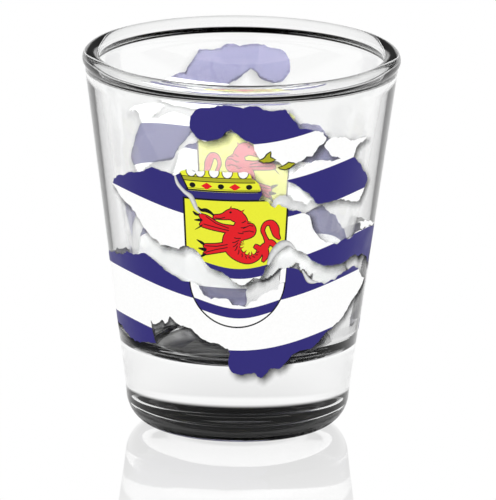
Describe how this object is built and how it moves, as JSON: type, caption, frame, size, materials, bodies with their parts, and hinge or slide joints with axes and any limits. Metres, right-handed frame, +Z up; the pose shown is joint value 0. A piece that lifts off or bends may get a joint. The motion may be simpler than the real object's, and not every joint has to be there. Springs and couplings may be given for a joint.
{
  "type": "shot glass",
  "caption": "Small tapered drinking glass with a thick solid base and rounded lip, printed front and back with torn strips of a wavy striped flag and a shield.",
  "frame": {"origin": "centre of the foot, on the surface that the glass stands on", "axes": "+Z up along the glass's axis, towards the mouth; the front print faces -Y and the back print faces +Y"},
  "size_m": [0.05, 0.05, 0.06],
  "materials": {
    "clear_glass": "clear polished glass",
    "white_ink": "opaque printed ink, slight gloss",
    "navy_ink": "opaque printed ink, slight gloss",
    "yellow_ink": "opaque printed ink, slight gloss",
    "red_ink": "opaque printed ink, slight gloss",
    "black_ink": "opaque printed ink, slight gloss"
  },
  "bodies": {
    "root": {"glass_body": "clear_glass", "front_white_top": "white_ink", "front_white_flap": "white_ink", "front_white_middle": "white_ink", "front_white_lower": "white_ink", "front_navy_cap": "navy_ink", "front_navy_flap": "navy_ink", "front_navy_middle_left": "navy_ink", "front_navy_middle_right": "navy_ink", "front_navy_lower_left": "navy_ink", "front_navy_lower_right": "navy_ink", "front_navy_wedge": "navy_ink", "front_navy_foot": "navy_ink", "front_navy_bar": "navy_ink", "front_navy_crescent": "navy_ink", "front_yellow_shield": "yellow_ink", "front_yellow_coronet": "yellow_ink", "front_red_charge": "red_ink", "front_black_outline": "black_ink", "back_white_top": "white_ink", "back_white_flap": "white_ink", "back_white_middle": "white_ink", "back_white_lower": "white_ink", "back_navy_cap": "navy_ink", "back_navy_flap": "navy_ink", "back_navy_middle_left": "navy_ink", "back_navy_middle_right": "navy_ink", "back_navy_lower_left": "navy_ink", "back_navy_lower_right": "navy_ink", "back_navy_wedge": "navy_ink", "back_navy_foot": "navy_ink", "back_navy_bar": "navy_ink", "back_navy_crescent": "navy_ink", "back_yellow_shield": "yellow_ink", "back_yellow_coronet": "yellow_ink", "back_red_charge": "red_ink", "back_black_outline": "black_ink"}
  },
  "joints": []
}
